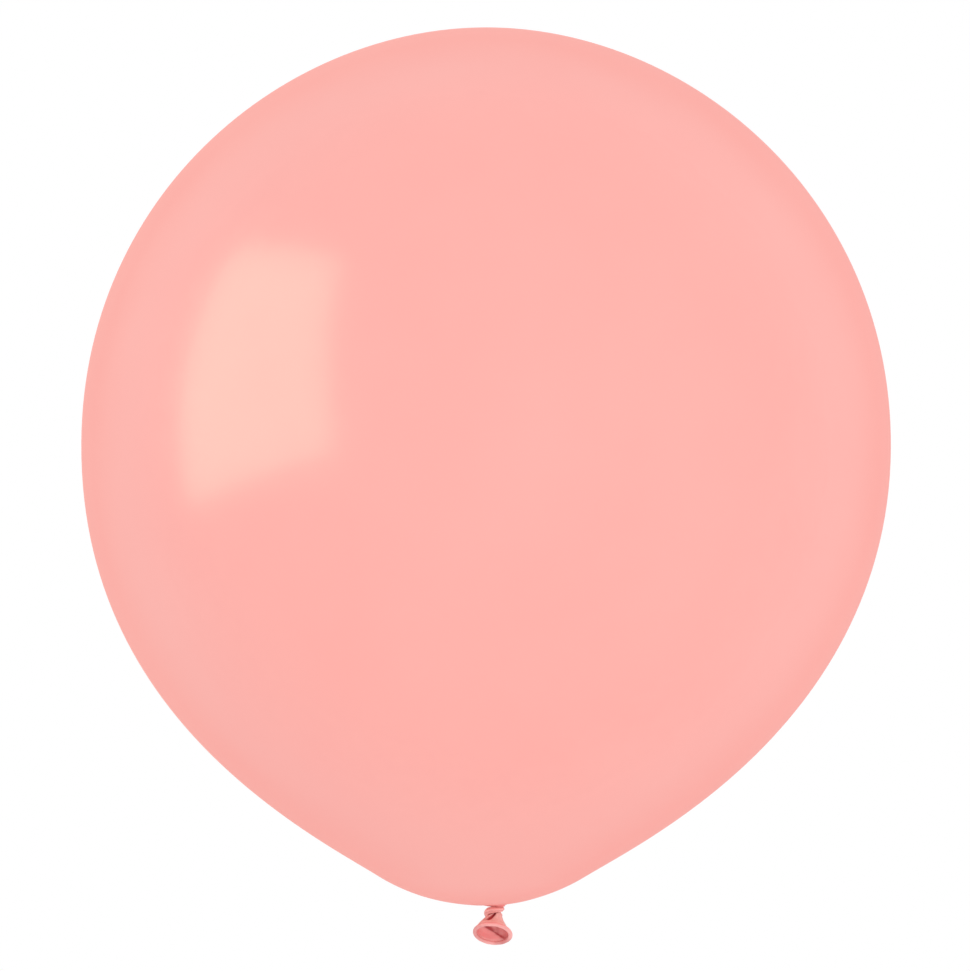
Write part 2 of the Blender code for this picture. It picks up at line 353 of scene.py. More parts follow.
class TailSizes(bpy.types.PropertyGroup):
    """Sizes of the spread tail and the lip round its mouth."""

    lean_forward: angle("Lean forward", "Lean of the tail towards the camera side", 36.0)
    lean_left: angle("Lean left", "Lean of the tail towards the left", 7.0)
    mouth_depth: length("Mouth depth", "From the tail's pivot to its mouth", 10.5 * MM)
    mouth_side: length("Mouth side", "How far the mouth stands left of the tail's pivot", 1.07 * MM)
    wall: length("Wall", "Thickness of the tail's slack wall", 0.45 * MM)
    mouth_fold: length("Mouth fold", "Height of the fold across the inside of the mouth", 0.7 * MM)
    # Reach of the painted shadow where the knot lies on the tail
    tuck_and_shadow: length("Tuck", "How far its colour is deeper where the knot lies on it", 0.45 * MM)
    pinch: number(
        "Pinch", "Where the inside closes, as a share of the tail's length", 0.36,
        min=0.0, max=1.0, subtype="FACTOR",
    )
    lip_radius: length("Lip radius", "Radius of the lip's ring", 10.6 * MM)
    bead_radius: length("Bead radius", "Radius of the rolled bead", 1.2 * MM)
    bead_wave: length("Bead wave", "How unevenly the bead runs", 0.25 * MM)
    roll_depth: length("Roll depth", "Depth of the groove where the roll ends", 0.16 * MM)
    steps: count("Steps", "Faces round the bell", 144)
    rows: count("Rows", "Rings down the bell", 72)


class LatexColours(bpy.types.PropertyGroup):
    """Latex colours: thin where blown, deep where slack; the crease and inside colours are painted
    shade.
    """

    blown: colour("Blown", "The thin, blown film", "FEAEA6")
    blown_deep: colour("Blown, thicker", "Film that stretched a little less", "FDA49D")
    neck: colour("Neck", "The film gathered at the neck", "F8A09C")
    knot: colour("Knot", "Slack latex on the outside of the knot", "FFBDB7")
    # Kept pale as painted light on the tail's lit front
    tail: colour("Tail", "Slack latex on the outside of the tail", "FFD4CC")
    lip: colour("Lip", "Slack latex rolled up at the mouth", "FBB0AC")
    # Painted shade in creases and folds, partly latex folded double
    crease: colour("Crease", "Slack latex folded double in a crease", "AE3438")
    # Painted shade inside the mouth
    inside: colour("Inside", "The inside of the tail's mouth", "F87778")


class StudioSettings(bpy.types.PropertyGroup):
    """Camera, floor and light."""

    camera_distance: length("Camera distance", "From the camera to the balloon's middle", 3.0)
    camera_side: length("Camera side", "Camera's place to the right of the neck", -8.0 * MM)
    camera_height: length("Camera height", "Camera's height above the neck", 250.6 * MM)
    roll: angle("Roll", "Turn of the camera about its own line of sight", -0.35)
    view_height: length("View height", "Height of the picture at the balloon", 577.5 * MM)
    floor_depth: length("Floor depth", "Floor's depth below the neck", 0.45)
    floor_radius: length("Floor radius", "Radius of the floor", 1.8)
    daylight: number("Daylight", "Strength of the white surround", 0.97)
    fill: number("Fill", "Strength of the soft light from the camera's side", 5.5)
    softbox: number("Softbox", "Strength of the window of light on the left", 21.8)
    softbox_colour: colour("Softbox colour", "Colour of the window of light", "FFEAC8")
    softbox_width: length("Softbox width", "Width of the window of light", 1.25)
    softbox_height: length("Softbox height", "Height of the window of light", 1.60)
    softbox_away: length("Softbox away", "From the window of light to the skin", 1.4)
    softbox_turn: angle("Softbox turn", "How far left of the camera it stands", 73.0)
    softbox_rise: angle("Softbox rise", "How far up it stands", 24.5)
    softbox_spin: angle("Softbox spin", "Turn of the window of light in its own plane", 11.5)
    softbox_lean: angle("Softbox lean", "Lean of its top away from the balloon", 31.4)


def feed(tree, target, inputs):
    """Sets a node's inputs, by name or in order, to values, sockets or other nodes' first outputs."""
    for key, value in inputs.items() if isinstance(inputs, dict) else enumerate(inputs):
        if isinstance(value, bpy.types.Node):
            value = next(socket for socket in value.outputs if socket.enabled)
        if isinstance(value, bpy.types.NodeSocket):
            tree.links.new(value, target.inputs[key])
        else:
            target.inputs[key].default_value = value


def node(tree, kind, inputs=(), operation=None, **settings):
    """Adds a node with its operation, its other settings and its inputs."""
    made = tree.nodes.new(kind)
    if operation:
        made.operation = operation
    for name, value in settings.items():
        setattr(made, name, value)
    feed(tree, made, inputs)
    return made


def new_material(name):
    """A material, its tree, its principled shader and its object coordinates."""
    material = bpy.data.materials.new(name)
    material.use_nodes = True
    tree = material.node_tree
    place = node(tree, "ShaderNodeTexCoord").outputs["Object"]
    return material, tree, tree.nodes["Principled BSDF"], place


def dry_gloss(tree, place, least, most):
    """Roughness of latex: satin, uneven over some 20 mm, and dry where its bloom is seen edge on."""
    bloom = node(tree, NOISE, {"Vector": place, "Scale": 1.0 / (20.0 * MM), "Detail": 1.0})
    satin = node(
        tree, RANGE, {"Value": bloom, "From Min": 0.3, "From Max": 0.7, "To Min": least, "To Max": most}
    )
    edge = node(tree, "ShaderNodeLayerWeight", {"Blend": 0.5}).outputs["Facing"]
    edge = node(tree, MATH, (edge, EDGE_POWER), "POWER")
    satin = node(tree, MATH, (edge, EDGE_DRYNESS, satin), "MULTIPLY_ADD")
    # Dust too fine to see as grains
    dust = node(tree, "ShaderNodeTexWhiteNoise", {"Vector": place}, noise_dimensions="3D")
    return node(tree, MATH, (dust, DUST, satin), "MULTIPLY_ADD", use_clamp=True)


def dress_latex(tree, shader, place, face, deeper, relief, satin):
    """Mixes deeper colours over that of the face, and adds fine relief and a dry gloss."""
    tone = (*face, 1.0)
    for amount, deep in deeper:
        tone = node(tree, "ShaderNodeMix", {0: amount, 6: tone, 7: (*deep, 1.0)}, data_type="RGBA")
    size, detail, strength, height = relief
    waves = node(tree, NOISE, {"Vector": place, "Scale": 1.0 / size, "Detail": detail})
    bump = node(tree, "ShaderNodeBump", {"Height": waves, "Strength": strength, "Distance": height})
    gloss = dry_gloss(tree, place, *satin)
    feed(tree, shader, {"Base Color": tone, "Normal": bump, "Roughness": gloss, "IOR": LATEX_IOR})


def blown_latex(colours, skin):
    """Natural rubber latex, dip moulded and blown thin: a soft sheen, even colour."""
    material, tree, shader, place = new_material("blown natural latex film")
    # Film thickness drifts over some 70 mm, which deepens the pink very slightly
    drift = node(tree, NOISE, {"Vector": place, "Scale": 1.0 / (70.0 * MM), "Detail": 2.0})
    drift = node(tree, RANGE, {"Value": drift, "From Min": 0.35, "From Max": 0.75, "To Max": 0.22})
    # The film stays thicker within some 20 mm of the crown's tip, as the dipping form leaves it
    tip = (-skin.offset, 0.0, skin.crown)
    crown = node(tree, VECTOR, (place, tip), "DISTANCE")
    thicker = {"From Min": 4.0 * MM, "From Max": 22.0 * MM, "To Min": 0.55, "To Max": 0.0}
    crown = node(tree, RANGE, {"Value": crown, **thicker}, **SMOOTH)
    # It thickens as it gathers into the neck
    gather = node(tree, "ShaderNodeAttribute", attribute_name="gather").outputs["Fac"]
    deeper = ((drift, colours.blown_deep), (crown, colours.neck), (gather, colours.neck))
    # Faint waves soften the reflections, as on a film that was dipped by hand
    dress_latex(tree, shader, place, colours.blown, deeper, FILM_WAVES, FILM_SATIN)
    return material


def slack_latex(name, colours, slot):
    """Unblown latex of the neck: thicker than the blown film, deepest in colour where it folds, with
    painted shade.
    """
    material, tree, shader, place = new_material(name)
    # Blotches of about 3 mm where the slack film lies double
    blotch = node(tree, NOISE, {"Vector": place, "Scale": 1.0 / (3.0 * MM), "Detail": 3.0})
    blotch = node(
        tree, RANGE, {"Value": blotch, "From Min": 0.3, "From Max": 0.7, "To Min": -0.06, "To Max": 0.10}
    )
    fold, inner = (
        node(tree, "ShaderNodeAttribute", attribute_name=key).outputs["Fac"] for key in ("fold", "inner")
    )
    # The fold and inner attributes mix in painted shade, the crease and inside colours
    depth = node(tree, MATH, (fold, blotch), "ADD", use_clamp=True)
    deeper = ((depth, colours.crease), (inner, colours.inside))
    satin = (SLACK_SATIN[slot], SLACK_SATIN[slot] + SATIN_SPREAD)
    dress_latex(tree, shader, place, getattr(colours, slot), deeper, SLACK_WRINKLES, satin)
    return material


def ramp(values, low, high):
    """Rises from 0 at low to 1 at high."""
    return np.clip((values - low) / (high - low), 0.0, 1.0)


def hump(offsets, width):
    """A round hump, 1 in its middle."""
    return np.exp(-((offsets / width) ** 2))


def wrapped(angles):
    return (angles + np.pi) % FULL_TURN - np.pi


def distances(points):
    """How far along their path points are."""
    return np.concatenate(([0.0], np.cumsum(np.linalg.norm(np.diff(points, axis=0), axis=1))))


def smooth_through(places, values, wanted):
    """Smooth values through a table, by Catmull-Rom slopes."""
    slopes = np.gradient(values, places)
    index = np.clip(np.searchsorted(places, wanted) - 1, 0, len(places) - 2)
    span = places[index + 1] - places[index]
    t = (wanted - places[index]) / span
    h00 = 2.0 * t**3 - 3.0 * t**2 + 1.0
    h10 = t**3 - 2.0 * t**2 + t
    h01 = 3.0 * t**2 - 2.0 * t**3
    h11 = t**3 - t**2
    start = h00 * values[index] + h10 * span * slopes[index]
    return start + h01 * values[index + 1] + h11 * span * slopes[index + 1]


def bezier(start, first_handle, last_handle, end, steps):
    """Points on a cubic without its last one, as radius and height."""
    a, b, c, d = (np.array(corner) for corner in (start, first_handle, last_handle, end))
    t = (np.arange(steps) / steps)[:, None]
    s = 1.0 - t
    return s**3 * a + 3.0 * s * s * t * b + 3.0 * s * t * t * c + t**3 * d


def skin_outline(skin):
    """Radius and height of the skin from its crown down into the knot, as the CAD film runs."""
    widest = (skin.radius, skin.widest)
    cap = np.linspace(skin.bottom_angle, math.asin(skin.opening / skin.bottom_radius), CAP_ROWS)
    cap_points = skin.bottom_radius * np.column_stack((np.sin(cap), 1.0 - np.cos(cap)))
    cap_points[:, 1] += skin.rise
    edge = cap_points[0]
    slope = np.array((math.cos(skin.bottom_angle), math.sin(skin.bottom_angle)))
    upper = bezier(
        (0.0, skin.crown), (skin.crown_reach, skin.crown),
        (skin.radius, skin.widest + skin.shoulder_reach), widest, CROWN_ROWS,
    )
    lower = bezier(
        widest, (skin.radius, skin.widest - skin.flank_reach),
        edge + skin.taper_reach * slope, edge, FLANK_ROWS,
    )
    throat = np.concatenate((cap_points[-1:], np.array(THROAT) * MM))
    places = np.arange(len(throat), dtype=float)
    wanted = np.linspace(0.0, places[-1], THROAT_ROWS)
    throat = np.column_stack([smooth_through(places, values, wanted) for values in throat.T])
    return np.concatenate((upper, lower, cap_points[:-1], throat))


def new_piece(name, data):
    """An object in the scene."""
    piece = bpy.data.objects.new(name, data)
    bpy.context.scene.collection.objects.link(piece)
    return piece


def new_tree(name, kinds):
    """A geometry tree, its inputs' sockets, and their values by identifier."""
    tree = bpy.data.node_groups.new(name, "GeometryNodeTree")
    for way in ("INPUT", "OUTPUT"):
        tree.interface.new_socket("geometry", in_out=way, socket_type="NodeSocketGeometry")
    values = {}
    for kind, inputs in kinds.items():
        for label, value in inputs.items():
            socket = tree.interface.new_socket(label, in_out="INPUT", socket_type="NodeSocket" + kind)
            values[socket.identifier] = value
    return tree, node(tree, "NodeGroupInput").outputs, values


def close_tree(tree, geometry, material):
    """Ends a geometry tree: shaded smooth, real, and with its material."""
    smooth = node(tree, "GeometryNodeSetShadeSmooth", {"Geometry": geometry})
    real = node(tree, "GeometryNodeRealizeInstances", {"Geometry": smooth})
    dressed = node(tree, "GeometryNodeSetMaterial", {"Geometry": real, "Material": material})
    node(tree, "NodeGroupOutput", (dressed,))


def applied_mesh(piece):
    """A piece's mesh with its modifiers applied."""
    bpy.context.view_layer.update()
    mesh = bpy.data.meshes.new_from_object(piece.evaluated_get(bpy.context.evaluated_depsgraph_get()))
    mesh.name = piece.name
    piece.modifiers.clear()
    return mesh


def run_tree(piece, tree, values):
    """Runs a geometry tree on an object and keeps its result as the plain mesh of a new one."""
    modifier = piece.modifiers.new(tree.name, "NODES")
    modifier.node_group = tree
    for identifier, value in values.items():
        modifier[identifier] = value
    mesh = applied_mesh(piece)
    name = piece.name
    bpy.data.objects.remove(piece)
    face_outwards(mesh)
    return new_piece(name, mesh)


def round_axis(tree):
    """A point's own axes, its way out from the Z axis and its distance from it."""
    place = node(tree, "GeometryNodeInputPosition")
    axes = node(tree, "ShaderNodeSeparateXYZ", (place,)).outputs
    flat = node(tree, "ShaderNodeCombineXYZ", (axes[0], axes[1]))
    around = node(tree, VECTOR, (flat,), "NORMALIZE")
    out = node(tree, VECTOR, (flat,), "LENGTH")
    return axes, around, out


def hung_place(tree, given, axes, out):
    """Where the skin hangs: round the bubble's axis, its bottom cap drawn over to the neck."""
    drawn, film = (
        node(tree, RANGE, {"Value": out, "From Min": given[start], "From Max": given[end]}, **SMOOTH)
        for start, end in (("opening", "draw"), ("neck", "opening"))
    )
    high = node(tree, MATH, (axes[2], given["widest"]), "GREATER_THAN")
    drawn = node(tree, MATH, (drawn, high), "MAXIMUM")
    slide = node(tree, MATH, (drawn, given["offset"]), "MULTIPLY")
    side = node(tree, MATH, (axes[0], slide), "SUBTRACT")
    from_axis = node(tree, MATH, (side, given["offset"]), "ADD")
    from_axis = node(tree, "ShaderNodeCombineXYZ", (from_axis, axes[1]))
    from_axis = node(tree, VECTOR, (from_axis,), "LENGTH")
    # On the cap, a point's height follows how far it now is from the bubble's axis
    rises = []
    for reach in (from_axis, out):
        part = node(tree, MATH, (reach, given["bottom_radius"]), "DIVIDE", use_clamp=True)
        for operation in ("ARCSINE", "COSINE"):
            part = node(tree, MATH, (part,), operation)
        rises.append(part)
    climb = node(tree, MATH, (rises[1], rises[0]), "SUBTRACT")
    climb = node(tree, MATH, (climb, given["bottom_radius"]), "MULTIPLY")
    free = node(tree, MATH, (drawn, 1.0), "LESS_THAN")
    film = node(tree, MATH, (film, free), "MULTIPLY")
    height = node(tree, MATH, (climb, film, axes[2]), "MULTIPLY_ADD")
    # Below its widest ring the bubble hangs over to the left a little
    low = {"From Min": given["widest"], "From Max": SWAY_HEIGHT, "To Max": given["sway"]}
    sway = node(tree, RANGE, {"Value": axes[2], **low}, **SMOOTH)
    sway = node(tree, MATH, (sway, drawn), "MULTIPLY")
    side = node(tree, MATH, (side, sway), "SUBTRACT")
    return node(tree, "ShaderNodeCombineXYZ", (side, axes[1], height))


def gathered(tree, given, axes, out):
    """How far a point is gathered: from the pleats' reach in to the neck, low on the bubble only."""
    near = node(tree, RANGE, {"Value": out, "From Min": given["pleat_reach"], "From Max": given["neck"]})
    near = node(tree, MATH, (near, GATHER_POWER), "POWER")
    low = node(tree, MATH, (axes[2], given["widest"]), "LESS_THAN")
    return node(tree, MATH, (near, low), "MULTIPLY")


def pleats(tree, given, axes, around, gather):
    """How the pleats stand out: round ridges and sharp valleys, turned where the neck was twisted."""
    turn = node(tree, MATH, (gather, given["swirl"]), "MULTIPLY")
    twist = {"Vector": around, "Angle": turn}
    turned = node(tree, "ShaderNodeVectorRotate", twist, rotation_type="Z_AXIS")
    waves = node(
        tree, NOISE, {"Vector": turned, "Scale": given["pleat_scale"], "Detail": 1.0, "Roughness": 0.4}
    )
    ridge = node(tree, MATH, (waves, 0.5), "SUBTRACT")
    ridge = node(tree, MATH, (ridge,), "ABSOLUTE")
    push = node(tree, RANGE, {"Value": ridge, "From Max": 0.22, "To Min": -0.6, "To Max": 0.4})
    # They fade under the collar
    collar = {"From Min": 0.4 * MM, "From Max": 0.9 * MM, "To Min": 0.4}
    under = node(tree, RANGE, {"Value": axes[2], **collar}, **SMOOTH)
    for amount in (gather, given["pleat_depth"], under):
        push = node(tree, MATH, (push, amount), "MULTIPLY")
    normal = node(tree, "GeometryNodeInputNormal").outputs["Normal"]
    return node(tree, VECTOR, {0: normal, "Scale": push}, "SCALE")


def neck_fold(tree, given, axes, around):
    """One larger fold of the neck, on the right in front, which closes the gap over the knot."""
    fold = node(tree, VECTOR, (around, FOLD_WAY), "DOT_PRODUCT")
    for operation, amount in (("MAXIMUM", 0.0), ("POWER", FOLD_POWER), ("MULTIPLY", given["fold"])):
        fold = node(tree, MATH, (fold, amount), operation)
    for end in (given["edge_height"], given["foot"]):
        shown = node(tree, RANGE, {"Value": axes[2], "From Min": end, "From Max": 0.0}, **SMOOTH)
        fold = node(tree, MATH, (fold, shown), "MULTIPLY")
    return node(tree, VECTOR, {0: around, "Scale": fold}, "SCALE")


def skin_tree(skin, material):
    """Geometry tree: turns the outline, draws it over to the neck and gathers it there."""
    sizes = {key: getattr(skin, key) for key in SKIN_INPUTS}
    sizes["foot"] = THROAT[-1][1] * MM
    sizes["edge_height"] = float(skin_outline(skin)[-THROAT_ROWS][1])
    kinds = {"Int": {"steps": skin.steps}, "Float": sizes, "Material": {"material": material}}
    tree, given, values = new_tree("Blown skin", kinds)
    ring = node(tree, "GeometryNodeCurvePrimitiveCircle", {"Resolution": given["steps"], "Radius": 1.0})
    radius = node(tree, "GeometryNodeInputRadius")
    swept = {"Curve": given["geometry"], "Profile Curve": ring, "Scale": radius}
    turned = node(tree, "GeometryNodeCurveToMesh", swept)
    closed = node(tree, "GeometryNodeMergeByDistance", {"Geometry": turned, "Distance": 1e-6})
    axes, around, out = round_axis(tree)
    hung = hung_place(tree, given, axes, out)
    made = node(tree, "GeometryNodeSetPosition", {"Geometry": closed, "Position": hung})
    gather = gathered(tree, given, axes, out)
    for offset in (pleats(tree, given, axes, around, gather), neck_fold(tree, given, axes, around)):
        made = node(tree, "GeometryNodeSetPosition", {"Geometry": made, "Offset": offset})
    stored = {"Geometry": made, "Name": "gather", "Value": gather}
    stored = node(tree, "GeometryNodeStoreNamedAttribute", stored, data_type="FLOAT")
    close_tree(tree, stored, given["material"])
    return tree, values


def face_outwards(mesh):
    """Turns all faces of a closed or nearly closed mesh outwards."""
    shape = bmesh.new()
    shape.from_mesh(mesh)
    if shape.calc_volume(signed=True) < 0.0:
        mesh.flip_normals()
    shape.free()


def ring_mesh(name, rings, attributes):
    """A closed mesh through rings of points, each end fanned to its middle."""
    rows, steps = rings.shape[:2]
    ends = np.stack((rings[0].mean(axis=0), rings[-1].mean(axis=0)))
    points = np.concatenate((rings.reshape(-1, 3), ends))
    here = np.arange(rows * steps).reshape(rows, steps)
    after = np.roll(here, -1, axis=1)
    quads = np.stack((here[:-1], after[:-1], after[1:], here[1:]), axis=-1).reshape(-1, 4)
    first = np.stack((here[0], np.full(steps, rows * steps), after[0]), axis=-1)
    last = np.stack((here[-1], after[-1], np.full(steps, rows * steps + 1)), axis=-1)
    mesh = bpy.data.meshes.new(name)
    mesh.from_pydata(points.tolist(), [], quads.tolist() + first.tolist() + last.tolist())
    for key, values in attributes.items():
        both = np.concatenate((values.ravel(), (values[0].mean(), values[-1].mean())))
        mesh.attributes.new(key, "FLOAT", "POINT").data.foreach_set("value", both)
    mesh.validate()
    face_outwards(mesh)
    mesh.shade_smooth()
    return new_piece(name, mesh)


def strand_path(points):
    """Centre line and radius of the knotted strand, smooth through its route, in metres."""
    route = np.array(KNOT_ROUTE) * MM
    guides = np.concatenate(([2.0 * route[0] - route[1]], route, [2.0 * route[-1] - route[-2]]))
    t = (np.arange(points) / points)[:, None]
    path = []
    for a, b, c, d in zip(guides, guides[1:], guides[2:], guides[3:]):
        bend = (2.0 * a - 5.0 * b + 4.0 * c - d) * t * t
        path.append(0.5 * (2.0 * b + (c - a) * t + bend + (3.0 * b - a - 3.0 * c + d) * t**3))
    path = np.concatenate(path + [route[-1:]])
    return path[:, :3], path[:, 3]


def carried_frames(centres):
    """Tangents and two cross axes along a path, carried without twist."""
    tangents = np.gradient(centres, axis=0)
    tangents /= np.linalg.norm(tangents, axis=1)[:, None]
    side = np.cross(tangents[0], (0.0, 1.0, 0.0))
    sides = []
    for tangent in tangents:
        side = side - tangent * side.dot(tangent)
        side = side / np.linalg.norm(side)
        sides.append(side)
    sides = np.array(sides)
    return tangents, sides, np.cross(tangents, sides)


def press(centres, radii, along, rays, reach, knot):
    """Shortens rays that run into other stretches of the strand, so that they meet flat."""
    least_share = 0.3
    own_stretch = 2.6
    halvings = 12
    low = least_share * reach
    high = reach.copy()
    far = np.abs(along[:, None] - along[None]) > own_stretch * radii[:, None]

    def clear(lengths):
        tips = centres[:, None] + rays * lengths[..., None]
        room = np.empty(lengths.shape)
        for row in range(len(centres)):
            others = centres[far[row]]
            away = np.linalg.norm(tips[row][:, None] - others[None], axis=2) - radii[far[row]]
            room[row] = away.min(axis=1) - (lengths[row] - radii[row])
        return (room > knot.gap) & (tips[..., 2] < knot.ceiling)

    for _ in range(halvings):
        middle = 0.5 * (low + high)
        free = clear(middle)
        low = np.where(free, middle, low)
        high = np.where(free, high, middle)
    return np.where(clear(reach), reach, low)


def smoothed(field):
    """Averages a field of rings with its neighbours twice, along the strand and round it."""
    for _ in range(2):
        field = 0.5 * field + 0.25 * (np.roll(field, 1, axis=1) + np.roll(field, -1, axis=1))
        padded = np.concatenate((field[:1], field, field[-1:]))
        field = 0.5 * field + 0.25 * (padded[:-2] + padded[2:])
    return field


def tail_pivot():
    """Where the tail bends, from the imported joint."""
    for joint in frame["joints"]:
        if joint["name"] == "tail_bend":
            return Vector(joint["pos_m"])
    raise RuntimeError("the frame has no joint named tail_bend")


def bell_creases(shares, angles):
    """How far the creases sink into the tail's wall, at shares of its length and angles round it."""
    sunk = np.zeros((len(shares), len(angles)))
    for start, drift, depth, width, reach in BELL_CREASES:
        offset = wrapped(angles[None] - start - drift * shares[:, None])
        fade = np.clip(1.0 - shares / reach, 0.0, 1.0)[:, None]
        sunk += depth * MM * np.sqrt(fade) * hump(offset, width)
    return sunk


def mouth_fold(shares, angles):
    """The fold across the inside of the mouth: its height and its painted shade."""
    across = wrapped(angles[None] - np.interp(shares, *MOUTH_FOLD)[:, None])
    after = across > 0.0
    # It is steep on one side and slopes away on the other, from under the knot to just inside the lip
    side = np.where(after, np.exp(-across / SLOPED_SIDE), hump(across, STEEP_SIDE))
    shown = ramp(shares, *MOUTH_RISE) * ramp(shares, *MOUTH_END)
    height = shown[:, None] * side
    # Painted shade: its colour is deeper along its foot, where it starts under the knot, and on the
    # right
    foot = SHADE_LEAST + (1.0 - SHADE_LEAST) * np.exp(across / SHADE_FOOT)
    shadow = np.where(after, np.exp(-across / SHADE_CREST), foot) * (across > -SHADE_REACH)
    shadow = shadow * ramp(shares, *SHADE_RISE)[:, None]
    start = hump(across, START_WIDTH) * hump(shares - MOUTH_START, START_LENGTH)[:, None]
    right = 1.0 + np.cos(angles)[None]
    return height, FOOT_SHADE_TONE * shadow + START_SHADE_TONE * start + RIGHT_SHADE_TONE * right


def bell_surface(tail, shares, angles, inset):
    """Points of the tail's wall at some shares of its length, and how deep their colour is where they
    fold, with painted shade.
    """
    table = np.array(BELL_SECTIONS)
    along = distances(table[:, :3])
    columns = [smooth_through(along / along[-1], values, shares) for values in table.T]
    middle = np.column_stack(columns[:3]) * MM
    half_x, half_y = (column[:, None] * MM for column in columns[3:5])
    forward, left = np.radians(columns[5:])
    inward = bell_creases(shares, angles)
    # Creases deepen the colour: painted shade, partly latex lying double
    fold = np.clip(inward / DEEP_CREASE, 0.0, 1.0)
    # The inside narrows to a slit under the knot, with one fold lying across it
    narrow_x, narrow_y = 1.0, 1.0
    if inset > 0.0:
        closing = ramp(shares, tail.pinch, tail.pinch + SLIT_LENGTH)[:, None]
        narrow_x = SLIT_WIDTH + (1.0 - SLIT_WIDTH) * closing
        opened = closing * closing * (3.0 - 2.0 * closing)
        narrow_y = SLIT_DEPTH + (1.0 - SLIT_DEPTH) * opened
        height, deeper = mouth_fold(shares, angles)
        inward = inward + inset + tail.mouth_fold * height
        # Painted shade along the mouth's fold and deep in the mouth towards the slit
        fold = np.clip(0.5 * fold + deeper + (1.0 - closing) ** 2, 0.0, 1.0)
    x = np.cos(angles) * (half_x - inward) * narrow_x
    y = np.sin(angles) * (half_y - inward * np.clip(half_y / half_x, FLAT_SHARE, 1.0)) * narrow_y
    right = np.column_stack((np.cos(left), np.zeros_like(left), -np.sin(left)))
    back = np.column_stack(
        (-np.sin(forward) * np.sin(left), np.cos(forward), -np.sin(forward) * np.cos(left))
    )
    return middle[:, None] + x[..., None] * right[:, None] + y[..., None] * back[:, None], fold


class BALLOON_OT_skin(bpy.types.Operator):
    """Makes the blown skin, from its crown down through the gathered neck into the knot"""

    bl_idname = "balloon.skin"
    bl_label = "Blown skin"

    def execute(self, context):
        skin = context.scene.balloon_skin
        outline = skin_outline(skin)
        curve = bpy.data.curves.new("blown_skin", "CURVE")
        curve.dimensions = "3D"
        spline = curve.splines.new("POLY")
        spline.points.add(len(outline) - 1)
        for point, (radius, height) in zip(spline.points, outline):
            point.co = (0.0, 0.0, height, 1.0)
            point.radius = radius
        piece = new_piece("blown_skin", curve)
        tree, values = skin_tree(skin, blown_latex(context.scene.balloon_colours, skin))
        piece = run_tree(piece, tree, values)
        wall = piece.modifiers.new("Wall", "SOLIDIFY")
        wall.thickness = skin.film
        wall.offset = -1.0
        piece.data = applied_mesh(piece)
        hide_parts("bubble", "throat", "neck_stem")
        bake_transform(piece)
        return {"FINISHED"}


class BALLOON_OT_knot(bpy.types.Operator):
    """Makes the neck's strand, tied in an overhand knot and pressed together"""

    bl_idname = "balloon.knot"
    bl_label = "Knot"

    def execute(self, context):
        knot = context.scene.balloon_knot
        colours = context.scene.balloon_colours
        centres, radii = strand_path(knot.points)
        radii = radii + knot.swell
        along = distances(centres)
        tangents, sides, ups = carried_frames(centres)
        angles = np.arange(knot.steps) / knot.steps * FULL_TURN
        across, over = (turn[None, :, None] for turn in (np.cos(angles), np.sin(angles)))
        rays = across * sides[:, None] + over * ups[:, None]
        crease = np.zeros((len(centres), knot.steps))
        for start, turn, depth, width in STRAND_PLEATS:
            offset = wrapped(angles[None] - start - turn * along[:, None] / MM)
            crease += depth * hump(offset, width)
        bend = np.gradient(tangents, axis=0) / np.gradient(along)[:, None]
        inner = np.clip(np.einsum("ijk,ik->ij", rays, bend) * radii[:, None], 0.0, 1.0)
        ripple = 0.5 + 0.5 * np.sin(along / knot.wrinkle_pitch * FULL_TURN)[:, None]
        free = radii[:, None] * (1.0 - crease) - knot.wrinkle * inner * ripple
        reach = smoothed(press(centres, radii, along, rays, free, knot))
        # Its colour is deeper in the pleats and where stretches press together: painted shade, partly
        # latex lying double
        pressed = smoothed(np.clip(1.0 - reach / free, 0.0, 1.0))
        fold = np.clip(PLEAT_SHADE_TONE * crease + PRESSED_SHADE_TONE * pressed, 0.0, 1.0)
        rings = centres[:, None] + rays * reach[..., None]
        piece = ring_mesh("knotted_strand", rings, {"fold": fold, "inner": np.zeros_like(fold)})
        piece.data.materials.append(slack_latex("knotted natural latex", colours, "knot"))
        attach(piece, "knot")
        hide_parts("knot")
        return {"FINISHED"}


